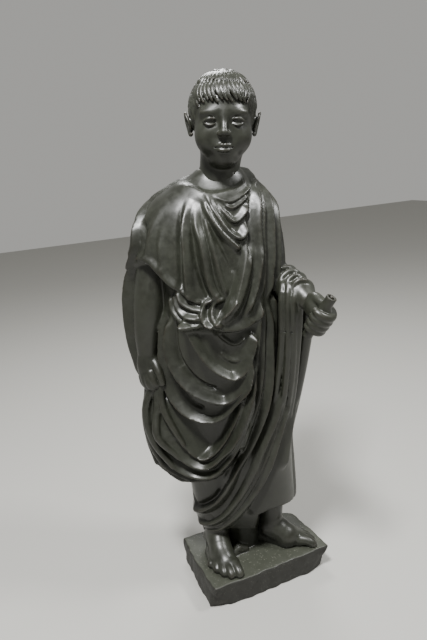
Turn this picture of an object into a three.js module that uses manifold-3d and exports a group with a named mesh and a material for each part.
import * as THREE from 'three';
import Module from 'manifold-3d';

// A boy in a toga, carved with his plinth from one block of dark stone. Millimetres, z up.
// The figure is worked out in its own frame, x to its left, y backwards, z up, and then turned
// on the plinth. The plinth stands square to x and y with its middle over the origin.
const figureTurn = -23;
const plinthHeight = 65;
const bodyTop = 1006;
const bodyRows = 45;
const frontStep = 4.8;
const backStep = 12;
const squareness = 2.3;
const evenness = 0.35;
const headMiddle = [-7, -10, 1100];
const headTilt = 4;

// Sections of the draped body: height, middle across and back, then the reach on the right arm's
// side, on the left arm's side, forward and back.
const sections = [
  [60, -20, 8, 92, 92, 50, 66],
  [140, -22, 8, 110, 114, 60, 74],
  [190, -22, 8, 126, 132, 72, 82],
  [280, -25, 6, 134, 134, 86, 90],
  [340, -28, 4, 176, 136, 98, 94],
  [440, -35, 2, 192, 150, 104, 96],
  [505, -42, 0, 188, 162, 108, 98],
  [570, -50, 0, 204, 165, 110, 98],
  [640, -54, 0, 208, 162, 110, 98],
  [710, -56, 0, 206, 162, 112, 98],
  [796, -57, 0, 190, 160, 108, 95],
  [870, -56, 2, 168, 154, 98, 92],
  [918, -50, 4, 148, 142, 86, 84],
  [948, -44, 6, 128, 120, 72, 74],
  [970, -36, 8, 100, 92, 56, 66],
  [990, -28, 10, 66, 66, 44, 54],
  [1010, -24, 12, 40, 42, 38, 42],
];
// The body behind the hanging folds: height, reach on the right arm's side, reach forward.
const waist = [
  [340, 128, 84], [440, 130, 88], [505, 128, 98], [570, 122, 106],
  [640, 118, 110], [710, 116, 112], [796, 116, 108], [870, 134, 98],
];
const legs = [
  [60, 92, 50], [140, 110, 60], [190, 124, 70], [280, 124, 76], [340, 122, 78], [420, 120, 80],
];
// Where the cloth lies back against the body: outlines in turn (degrees, 0 in front) and height.
const waistArea = [
  [-86, 560], [-88, 640], [-87, 720], [-83, 800], [-67, 826], [-59, 820], [-51, 801], [-42, 779],
  [-34, 764], [-34, 740], [0, 690], [38, 676], [32, 620], [24, 560], [12, 500], [0, 448],
  [-14, 408], [-30, 378], [-41, 377], [-50, 412], [-57, 455], [-65, 500], [-75, 538],
];
const legsArea = [
  [-170, 200], [-130, 250], [-100, 268], [-82, 276], [-56, 292], [-29, 315], [-6, 359], [6, 392],
  [2, 350], [-8, 300], [0, 250], [30, 190], [30, 50], [-170, 50],
];
// How low the cloth reaches: turn and height.
const hem = [
  [-180, 78], [-110, 84], [-88, 104], [-76, 128], [-60, 138], [-40, 148], [-24, 146], [26, 141],
  [29, 186], [46, 197], [66, 196], [84, 190], [104, 160], [128, 110], [150, 84], [180, 78],
];
// The folds: path in turn and height, how far the fold stands out, and its width on the left and
// on the right of the path. A furrow stands out by less than nothing.
const fold = (path, rise, left, right) => ({ path, rise, left, right });
const hangingFolds = [
  fold([[-29, 692], [-20, 640], [-9, 598], [7, 570], [20, 574], [29, 606], [34, 645], [37, 680]],
    12, 26, 12),
  fold([[-53, 700], [-55, 630], [-46, 573], [-31, 534], [-10, 512], [5, 516], [20, 548], [28, 590],
    [34, 650]], 13, 28, 13),
  fold([[-66, 720], [-67, 600], [-62, 520], [-50, 483], [-36, 466], [-18, 465], [0, 487], [19, 537],
    [28, 580], [34, 640]], 13, 26, 13),
  fold([[-78, 546], [-73, 481], [-64, 425], [-54, 376], [-42, 353], [-28, 356], [-8, 397], [6, 441],
    [18, 497], [27, 550], [34, 610]], 14, 20, 12),
  fold([[-81, 550], [-79, 470], [-72, 406], [-60, 349], [-46, 324], [-27, 331], [-8, 370], [9, 425],
    [22, 496], [31, 560]], 15, 20, 13),
  fold([[-86, 550], [-88, 460], [-86, 390], [-81, 332], [-71, 298], [-56, 290], [-29, 314],
    [-6, 358], [12, 420], [26, 500]], 12, 22, 12),
  fold([[-92, 560], [-98, 450], [-99, 380], [-96, 320], [-88, 290]], 8, 16, 14),
];
const longFolds = [
  fold([[47, 740], [43, 667], [38, 610], [31, 555], [23, 509], [3, 424], [-13, 356]], 10, 14, 13),
  fold([[52, 760], [52, 685], [51, 606], [45, 539], [32, 462], [11, 378], [-15, 300], [-28, 255],
    [-47, 213], [-62, 197]], 12, 16, 14),
  fold([[72, 620], [65, 588], [55, 521], [46, 452], [30, 387], [18, 325], [5, 275], [-10, 238],
    [-28, 197], [-49, 164], [-66, 153]], 12, 16, 15),
  fold([[80, 600], [73, 560], [63, 509], [55, 447], [46, 380], [33, 314], [25, 286], [7, 239],
    [-17, 190], [-44, 154], [-60, 140], [-76, 134]], 12, 16, 16),
  fold([[90, 600], [84, 530], [76, 470], [70, 410], [66, 340]], 9, 16, 22),
];
const shoulderFolds = [
  fold([[84, 1000], [66, 965], [59, 941], [53, 898], [49, 833], [42, 776], [31, 723], [20, 688]],
    11, 22, 10),
  fold([[92, 980], [73, 928], [68, 875], [64, 828], [58, 757], [54, 690]], 10, 14, 14),
  fold([[104, 950], [92, 890], [84, 840], [77, 790], [70, 720], [66, 650]], 9, 14, 14),
];
const chestFolds = [
  fold([[-36, 920], [-32, 870], [-32, 801], [-33, 772]], -6, 12, 12),
  fold([[-30, 928], [-26, 870], [-25, 812], [-24, 769], [-20, 745]], 11, 13, 12),
  fold([[-25, 918], [-17, 869], [-13, 822], [-7, 774], [2, 744]], -6, 12, 12),
  fold([[-21, 928], [-9, 868], [-5, 821], [-3, 786], [3, 751], [10, 747]], 11, 13, 12),
  fold([[-10, 928], [2, 884], [7, 831], [11, 783], [16, 739]], -7, 12, 12),
  fold([[-7, 942], [12, 888], [25, 858], [33, 838]], 11, 13, 11),
  fold([[-6, 951], [11, 910], [22, 881], [31, 866], [37, 869], [45, 895]], 12, 13, 10),
];
const pouchFolds = [
  fold([[-50, 752], [-38, 726], [-26, 708], [-8, 699], [8, 700]], 15, 34, 30),
  fold([[45, 880], [39, 842], [28, 780], [19, 739], [11, 717], [1, 698]], 18, 32, 9),
  fold([[-14, 706], [-4, 690], [8, 680], [27, 680], [40, 694], [49, 730], [56, 795]], 21, 36, 10),
];
const rollFolds = [
  fold([[-38, 764], [-30, 741], [-21, 726], [-10, 721]], 9, 12, 11),
  fold([[-47, 757], [-44, 728], [-35, 705], [-25, 694], [-10, 692]], 10, 12, 10),
  fold([[8, 746], [-4, 738], [-9, 718], [-5, 697], [3, 686]], 9, 10, 10),
];
const edgeFolds = [
  fold([[-84, 812], [-67, 829], [-59, 823], [-51, 803], [-42, 781], [-34, 766]], 6, 18, 8),
  fold([[-100, 990], [-95, 958], [-84, 921], [-80, 872], [-82, 825], [-87, 760], [-89, 650],
    [-88, 560]], 8, 8, 30),
];
const furrows = [
  fold([[67, 680], [65, 653], [57, 588], [49, 520], [39, 458], [23, 395], [5, 345], [-8, 300]],
    -12, 12, 12),
  fold([[62, 780], [65, 700], [64, 653], [58, 600], [52, 545]], -24, 14, 12),
  fold([[54, 400], [48, 307], [36, 252], [26, 210]], -7, 18, 14),
];
const backFolds = [];
for (let i = 0; i < 7; i += 1) {
  backFolds.push(fold([[105 + 5 * i, 985 - 6 * i], [124 + 9 * i, 860 - 34 * i],
    [150 + 15 * i, 700 - 52 * i], [180 + 20 * i, 520 - 58 * i]], 9, 22, 22));
}
for (let i = 0; i < 8; i += 1) {
  backFolds.push(fold([[100 + 16 * i, 560 - 26 * i], [101 + 16 * i, 360], [97 + 16 * i, 90]],
    9, 22, 22));
}
const foldGroups = [
  hangingFolds, longFolds, shoulderFolds, chestFolds, pouchFolds, rollFolds, edgeFolds, backFolds,
  furrows,
];

const wasm = await Module();
wasm.setup();

function radians(degrees) {
  return degrees * Math.PI / 180;
}

function wrapTurn(turn) {
  return ((turn + 180) % 360 + 360) % 360 - 180;
}

function ease(low, high, x) {
  const t = Math.min(Math.max((x - low) / (high - low), 0), 1);
  return t * t * (3 - 2 * t);
}

// A smooth curve through a short table, with slopes that never overshoot.
function curveThrough(rows, column, x) {
  const last = rows.length - 1;
  let i = 0;
  while (i < last - 1 && x > rows[i + 1][0]) {
    i += 1;
  }
  const rise = (k) => (rows[k + 1][column] - rows[k][column]) / (rows[k + 1][0] - rows[k][0]);
  const slope = (k) => {
    if (k === 0) {
      return rise(0);
    }
    if (k === last) {
      return rise(last - 1);
    }
    const before = rise(k - 1);
    const after = rise(k);
    return before * after > 0 ? 2 * before * after / (before + after) : 0;
  };
  const step = rows[i + 1][0] - rows[i][0];
  const t = Math.min(Math.max((x - rows[i][0]) / step, 0), 1);
  return (1 + 2 * t) * (1 - t) ** 2 * rows[i][column] + t * (1 - t) ** 2 * step * slope(i)
    + t * t * (3 - 2 * t) * rows[i + 1][column] + t * t * (t - 1) * step * slope(i + 1);
}

function straightThrough(rows, x) {
  let i = 0;
  while (i < rows.length - 2 && x > rows[i + 1][0]) {
    i += 1;
  }
  const t = Math.min(Math.max((x - rows[i][0]) / (rows[i + 1][0] - rows[i][0]), 0), 1);
  return rows[i][1] + t * (rows[i + 1][1] - rows[i][1]);
}

// A path of any dimension, rounded by a Catmull-Rom spline.
function splinePath(points, count) {
  const last = points.length - 1;
  const at = (k, n) => {
    if (k < 0) {
      return 2 * points[0][n] - points[1][n];
    }
    if (k > last) {
      return 2 * points[last][n] - points[last - 1][n];
    }
    return points[k][n];
  };
  const out = [];
  for (let step = 0; step < count; step += 1) {
    const u = Math.min(step / (count - 1) * last, last - 1e-6);
    const k = Math.floor(u);
    const t = u - k;
    out.push(points[0].map((value, n) => {
      const [a, b, c, d] = [at(k - 1, n), at(k, n), at(k + 1, n), at(k + 2, n)];
      return 0.5 * (2 * b + (c - a) * t + (2 * a - 5 * b + 4 * c - d) * t * t
        + (3 * b - a - 3 * c + d) * t ** 3);
    }));
  }
  return out;
}

// Distance from the middle of a rounded section to its edge.
function oval(turn, right, left, fore, back) {
  const across = Math.sin(radians(turn));
  const front = Math.cos(radians(turn));
  const side = across < 0 ? right : left;
  const deep = front > 0 ? fore : back;
  return (Math.abs(across / side) ** squareness + Math.abs(front / deep) ** squareness)
    ** (-1 / squareness);
}

function depthInside(outline, turn, height) {
  // signed distance to an outline on the unrolled cloth, positive inside
  const span = radians(1) * 125;
  const x = turn * span;
  let best = 1e9;
  let inside = false;
  outline.forEach((corner, i) => {
    const next = outline[(i + 1) % outline.length];
    const [ax, ay, bx, by] = [corner[0] * span, corner[1], next[0] * span, next[1]];
    const [dx, dy] = [bx - ax, by - ay];
    const t = Math.min(Math.max(((x - ax) * dx + (height - ay) * dy) / (dx * dx + dy * dy), 0), 1);
    best = Math.min(best, Math.hypot(x - ax - t * dx, height - ay - t * dy));
    if ((ay > height) !== (by > height) && x < ax + (height - ay) * dx / dy) {
      inside = !inside;
    }
  });
  return inside ? best : -best;
}

// How far the cloth stands from the middle of its section, before the folds.
function ground(turn, height) {
  const left = curveThrough(sections, 4, height);
  const back = curveThrough(sections, 6, height);
  let reach = oval(turn, curveThrough(sections, 3, height), left, curveThrough(sections, 5, height),
    back);
  [[waist, waistArea], [legs, legsArea]].forEach(([table, area]) => {
    const inner = oval(turn, curveThrough(table, 1, height), left, curveThrough(table, 2, height),
      back);
    const share = ease(-9, 9, depthInside(area, turn, height));
    reach += (Math.min(inner, reach) - reach) * share;
  });
  return reach;
}

function clothPoint(turn, height, reach) {
  return [
    curveThrough(sections, 1, height) + reach * Math.sin(radians(turn)),
    curveThrough(sections, 2, height) - reach * Math.cos(radians(turn)),
    height,
  ];
}

const foldLines = foldGroups.map((group) => group.map((one) => {
  const line = splinePath(one.path, 6 * one.path.length).map(([turn, height]) => {
    const reach = ground(wrapTurn(turn), height);
    return { turn: wrapTurn(turn), height, reach, at: clothPoint(turn, height, reach) };
  });
  return { ...one, line };
}));

function riseOf(one, turn, height, place, reach) {
  let best = 1e9;
  let along = 0;
  let side = 0;
  for (let i = 0; i < one.line.length - 1; i += 1) {
    const a = one.line[i];
    const b = one.line[i + 1];
    const d = [b.at[0] - a.at[0], b.at[1] - a.at[1], b.at[2] - a.at[2]];
    const p = [place[0] - a.at[0], place[1] - a.at[1], place[2] - a.at[2]];
    const length = d[0] ** 2 + d[1] ** 2 + d[2] ** 2 + 1e-9;
    const t = Math.min(Math.max((p[0] * d[0] + p[1] * d[1] + p[2] * d[2]) / length, 0), 1);
    const far = Math.hypot(p[0] - t * d[0], p[1] - t * d[1], p[2] - t * d[2]);
    if (far < best) {
      best = far;
      along = (i + t) / (one.line.length - 1);
      side = radians(wrapTurn(b.turn - a.turn)) * a.reach * (height - a.height)
        - d[2] * radians(wrapTurn(turn - a.turn)) * a.reach;
    }
  }
  const t = Math.min(best / (side > 0 ? one.left : one.right), 1);
  return one.rise * ease(0, 0.14, along) * ease(0, 0.14, 1 - along) * (1 - t * t) ** 1.5;
}

function clothReach(turn, height) {
  const reach = ground(turn, height);
  const place = clothPoint(turn, height, reach);
  let total = reach;
  foldLines.forEach((group) => {
    let ridge = 0;
    let furrow = 0;
    group.forEach((one) => {
      const rise = riseOf(one, turn, height, place, reach);
      ridge = Math.max(ridge, rise);
      furrow += Math.min(rise, 0);
    });
    total += ridge + furrow;
  });
  return total;
}

// A closed body from rings of points, with a point at each end.
function ringsToBody(rings, first, last) {
  const sides = rings[0].length;
  const points = rings.flat().concat([first, last]);
  const triangles = [];
  const atEnd = rings.length * sides;
  for (let row = 0; row < rings.length - 1; row += 1) {
    for (let k = 0; k < sides; k += 1) {
      const a = row * sides + k;
      const b = row * sides + (k + 1) % sides;
      triangles.push([a, b, b + sides], [a, b + sides, a + sides]);
    }
  }
  for (let k = 0; k < sides; k += 1) {
    const next = (k + 1) % sides;
    triangles.push([atEnd, next, k]);
    triangles.push([atEnd + 1, atEnd - sides + k, atEnd - sides + next]);
  }
  return toSolid(points, triangles);
}

function toSolid(points, triangles) {
  let volume = 0;
  triangles.forEach(([a, b, c]) => {
    const [p, q, r] = [points[a], points[b], points[c]];
    volume += p[0] * (q[1] * r[2] - q[2] * r[1]) + p[1] * (q[2] * r[0] - q[0] * r[2])
      + p[2] * (q[0] * r[1] - q[1] * r[0]);
  });
  const outward = volume > 0 ? triangles : triangles.map(([a, b, c]) => [a, c, b]);
  const mesh = new wasm.Mesh({
    numProp: 3,
    vertProperties: new Float32Array(points.flat()),
    triVerts: new Uint32Array(outward.flat()),
  });
  return new wasm.Manifold(mesh);
}

// A tapered, rounded limb along a path; squash flattens it along one direction.
function limb(path, radii, sides, squash) {
  const spots = path.map((p) => new THREE.Vector3(...p));
  const rings = [];
  let across = new THREE.Vector3(1, 0.2, 0.1);
  spots.forEach((spot, i) => {
    const before = spots[Math.max(i - 1, 0)];
    const after = spots[Math.min(i + 1, spots.length - 1)];
    const along = after.clone().sub(before).normalize();
    across = across.clone().addScaledVector(along, -across.dot(along)).normalize();
    const other = along.clone().cross(across);
    const ring = [];
    for (let k = 0; k < sides; k += 1) {
      const turn = 2 * Math.PI * k / sides;
      const out = across.clone().multiplyScalar(Math.cos(turn) * radii[i])
        .addScaledVector(other, Math.sin(turn) * radii[i]);
      if (squash) {
        const flat = new THREE.Vector3(...squash.direction);
        out.addScaledVector(flat, -out.dot(flat) * (1 - squash.share));
      }
      ring.push(spot.clone().add(out).toArray());
    }
    rings.push(ring);
  });
  const end = (i, j) => {
    const out = spots[i].clone().sub(spots[j]).normalize().multiplyScalar(radii[i] * 0.55);
    return spots[i].clone().add(out).toArray();
  };
  return ringsToBody(rings, end(0, 1), end(spots.length - 1, spots.length - 2));
}

// Signed distance to an egg, and soft joins of such distances.
function egg(p, middle, radii) {
  const q = p.map((value, k) => (value - middle[k]) / radii[k]);
  const scaled = Math.hypot(...q);
  const steep = Math.hypot(...q.map((value, k) => value / radii[k])) + 1e-6;
  return scaled * (scaled - 1) / steep;
}

function blend(a, b, soft) {
  const h = Math.min(Math.max(0.5 + 0.5 * (b - a) / soft, 0), 1);
  return b * (1 - h) + a * h - soft * h * (1 - h);
}

function carve(a, b, soft) {
  return -blend(-a, b, soft);
}

// The head about its own middle: a child's rounded skull and full cheeks.
function headDistance(p) {
  const mirrored = [Math.abs(p[0]), p[1], p[2]];
  let d = egg(p, [0, 8, 22], [67, 84, 73]);
  d = blend(d, egg(p, [0, -16, -22], [58, 62, 58]), 22);
  d = blend(d, egg(mirrored, [29, -47, -36], [29, 27, 29]), 16);
  d = blend(d, egg(p, [0, -62, -75], [17, 16, 14]), 16);
  d = blend(d, egg(mirrored, [24, -66, 13], [24, 12, 8]), 12);
  d = carve(d, egg(mirrored, [27, -85, -6], [15, 15, 9]), 8);
  d = blend(d, egg(mirrored, [27, -66, -6], [12, 11, 10]), 4);
  d = blend(d, egg(p, [0, -79, -12], [8, 11, 22]), 8);
  d = blend(d, egg(p, [0, -87, -28], [10, 9, 8]), 6);
  d = blend(d, egg(p, [0, -79, -55], [17, 8, 8]), 7);
  const cap = egg(p, [0, 8, 22], [73, 89, 78]);
  const hairLine = 33 - 0.38 * (p[1] + 78);
  const aroundEar = Math.hypot(p[1] - 2, p[2] + 8) - 21;
  const hair = Math.max(cap, hairLine - p[2] - Math.min(aroundEar * 0.2, 8));
  return blend(d, Math.max(hair, -aroundEar), 3);
}

function headBody() {
  const rings = [];
  const rowCount = 20;
  const columns = [];
  for (let turn = -180; turn < 180;) {
    columns.push(turn);
    turn += Math.abs(turn + 4) < 64 ? 8 : 16;
  }
  const reachAlong = (way) => {
    let far = 130;
    for (let step = 0; step < 60; step += 1) {
      far -= 0.8 * headDistance(way.map((v) => v * far));
    }
    return way.map((v) => v * far);
  };
  for (let row = 1; row < rowCount; row += 1) {
    const lift = radians(-90 + 180 * row / rowCount);
    rings.push(columns.map((turn) => reachAlong([
      Math.sin(radians(turn)) * Math.cos(lift),
      -Math.cos(radians(turn)) * Math.cos(lift),
      Math.sin(lift),
    ])));
  }
  const skull = ringsToBody(rings, reachAlong([0, 0, -1]), reachAlong([0, 0, 1]));
  const ears = [-1, 1].map((side) => limb(
    [[side * 66, -2, -28], [side * 70, -2, -12], [side * 72, 0, 4], [side * 68, 2, 16]],
    [7, 11, 12, 8], 8, { direction: [side * 0.9, -0.43, 0], share: 0.45 }));
  return ears.reduce((whole, ear) => whole.add(ear), skull)
    .rotate([0, headTilt, 0])
    .translate(headMiddle);
}

function drapedBody() {
  const turns = [];
  for (let turn = -180; turn < -106; turn += backStep) {
    turns.push(turn);
  }
  for (let turn = -102; turn < 106; turn += frontStep) {
    turns.push(turn);
  }
  for (let turn = 108; turn < 176; turn += backStep) {
    turns.push(turn);
  }
  const rings = [];
  for (let row = 0; row <= bodyRows; row += 1) {
    rings.push(turns.map((turn) => {
      const low = straightThrough(hem, turn);
      const share = row / bodyRows;
      const height = low + (bodyTop - low) * share;
      return clothPoint(turn, height, clothReach(turn, height));
    }));
  }
  return ringsToBody(rings, clothPoint(0, 150, 0), clothPoint(0, bodyTop, 0));
}

// Right arm, hanging, with the hand that gathers the edge of the toga.
function rightArm() {
  const parts = [
    limb([[-176, -14, 830], [-188, -28, 770], [-198, -30, 713], [-208, -30, 660], [-212, -33, 620],
      [-214, -38, 590]], [34, 36, 36, 30, 25, 22], 12),
    limb([[-214, -36, 610], [-217, -42, 588], [-219, -46, 566], [-218, -48, 548]],
      [22, 26, 25, 19], 10, { direction: [0.5, 0.87, 0], share: 0.72 }),
    limb([[-201, -40, 604], [-194, -56, 588], [-187, -66, 570], [-183, -69, 551]], [12, 11, 9, 8], 6),
  ];
  for (let i = 0; i < 4; i += 1) {
    parts.push(limb([[-208 - 7.4 * i, -56 + 4 * i, 572 - 3 * i], [-203 - 8 * i, -62 + 7 * i, 550 - 2 * i],
      [-190 - 7.6 * i, -52 + 6 * i, 542 - 2 * i]], [10, 9, 7], 6));
  }
  return parts;
}

// Left forearm held forward under the cloth, and the fist that holds a rolled sheet.
function leftArm() {
  const parts = [
    limb([[60, 20, 760], [85, 0, 750], [108, -48, 745], [126, -86, 738], [134, -102, 732]],
      [40, 38, 37, 33, 28], 12),
    limb([[130, -96, 730], [141, -120, 726], [150, -140, 720], [160, -165, 710]],
      [20, 19, 24, 26], 10, { direction: [0.88, 0.47, 0], share: 0.75 }),
    limb([[173, -190, 748], [158, -179, 718], [143, -169, 690], [129, -160, 662]],
      [11, 11, 11, 11], 10),
    limb([[148, -148, 736], [160, -168, 734], [170, -186, 722]], [11, 10, 8], 6),
    limb([[166, -176, 722], [157, -171, 704], [148, -165, 682]], [19, 20, 17], 9),
  ];
  for (let i = 0; i < 4; i += 1) {
    const [x, y, z] = [184 - 8 * i, -194 + 7 * i, 716 - 12 * i];
    parts.push(limb([[x - 10, y + 26, z - 1], [x, y, z], [x - 10, y - 11, z - 3], [x - 22, y - 2, z - 6]],
      [9, 9, 8.5, 7], 7));
  }
  return parts;
}

// Cloth hanging over the left forearm: long rolls on the near side, a broad fall on the far side.
function forearmCloth() {
  const nearFolds = [
    [[102, -60, 772], [93, -98, 742], [88, -106, 700], [86, -102, 640], [80, -96, 594],
      [72, -88, 545], [60, -80, 490]],
    [[114, -72, 776], [101, -106, 740], [97, -110, 690], [92, -104, 630], [86, -94, 560],
      [80, -82, 500], [68, -74, 440]],
    [[126, -84, 772], [110, -112, 735], [107, -110, 680], [107, -102, 620], [105, -90, 554],
      [99, -76, 490], [92, -64, 440]],
    [[134, -92, 764], [120, -112, 728], [119, -108, 680], [116, -98, 625], [110, -84, 560],
      [104, -72, 500], [96, -58, 450]],
  ];
  const farFolds = [
    [[138, -84, 750], [140, -74, 700], [136, -62, 640], [124, -40, 540], [108, -14, 430]],
    [[124, -50, 760], [129, -38, 690], [124, -30, 600], [114, -14, 500], [102, 4, 410]],
    [[104, -14, 770], [114, -6, 690], [112, 2, 590], [104, 12, 480], [96, 20, 380]],
  ];
  const made = nearFolds.map((path) => limb(path, [9, 10, 11, 11, 11, 11, 9], 6));
  const far = farFolds.map((path) => limb(path, [14, 18, 20, 19, 14], 7));
  const cuffs = [
    limb([[142, -74, 752], [124, -96, 766], [104, -90, 738]], [8, 10, 9], 6),
    limb([[122, -30, 760], [104, -52, 782], [84, -48, 752]], [8, 10, 9], 6),
  ];
  return made.concat(far, cuffs);
}

// A bare foot: the way it points, and its place on the plinth.
function foot(heel, toe, side) {
  const [dx, dy] = [toe[0] - heel[0], toe[1] - heel[1]];
  const long = Math.hypot(dx, dy);
  const [ax, ay] = [dx / long, dy / long];
  const at = (along, across, up) => [
    heel[0] + ax * along * long - ay * across * side,
    heel[1] + ay * along * long + ax * across * side,
    plinthHeight + up,
  ];
  const parts = [
    limb([at(0.06, 0, 14), at(0.3, 0, 22), at(0.55, 0, 17), at(0.8, -2, 11)], [20, 25, 27, 26], 10,
      { direction: [0, 0, 1], share: 0.78 }),
    limb([at(0.2, 0, 96), at(0.18, 0, 56), at(0.2, 0, 20)], [29, 27, 24], 10),
  ];
  const lengths = [1.0, 0.97, 0.92, 0.86, 0.8];
  lengths.forEach((length, i) => {
    const across = 18 - 10.5 * i;
    parts.push(limb([at(length - 0.28, across, 14), at(length - 0.08, across, 11),
      at(length, across, 7)], [10 - i, 8.5 - i * 0.8, 7 - i * 0.7], 6));
  });
  return parts;
}

// Stone left standing under the cloth, and between the feet.
function support() {
  return [
    limb([[-25, 24, 55], [-25, 22, 110], [-24, 12, 170]], [52, 48, 60], 10),
    limb([[-30, -4, 55], [-28, -6, 84], [-20, -2, 150]], [26, 20, 24], 8),
  ];
}

// The plinth: a rough block, its front leaning in towards the floor.
function plinth() {
  const top = [[-158, -107], [0, -108], [159, -106], [156, -30], [153, 56], [96, 92], [0, 104],
    [-156, 108], [-160, 0]];
  const bottom = [[-164, -86], [0, -104], [140, -92], [150, -30], [147, 52], [92, 88], [0, 99],
    [-155, 102], [-164, 0]];
  const rings = [bottom.map((p) => [...p, 0]), top.map((p) => [...p, plinthHeight - 1])];
  rings.push(top.map(([x, y]) => [x * 0.99, y * 0.985, plinthHeight]));
  return ringsToBody(rings, [0, 0, 0], [0, 0, plinthHeight]);
}

function statueSolid() {
  const parts = [
    drapedBody(),
    headBody(),
    limb([[-26, 4, 930], [-22, 0, 985], [-18, -4, 1020], [-10, -4, 1050]], [56, 44, 40, 42], 14),
    ...rightArm(),
    ...leftArm(),
    ...forearmCloth(),
    ...foot([-92, 6], [-62, -128], -1),
    ...foot([18, 34], [148, -34], 1),
    ...support(),
  ];
  const figure = parts.reduce((whole, part) => whole.add(part));
  return figure.rotate([0, 0, figureTurn]).add(plinth()).simplify(evenness);
}

const solid = statueSolid().getMesh();
const geometry = new THREE.BufferGeometry();
geometry.setAttribute('position', new THREE.BufferAttribute(new Float32Array(solid.vertProperties), 3));
geometry.setIndex(new THREE.BufferAttribute(new Uint32Array(solid.triVerts), 1));
geometry.computeVertexNormals();
const stone = new THREE.MeshStandardMaterial({ color: 0x4b4c42, roughness: 0.35, metalness: 0 });
const statue = new THREE.Mesh(geometry, stone);
statue.name = 'statue';
const whole = new THREE.Group();
whole.add(statue);

export default whole;
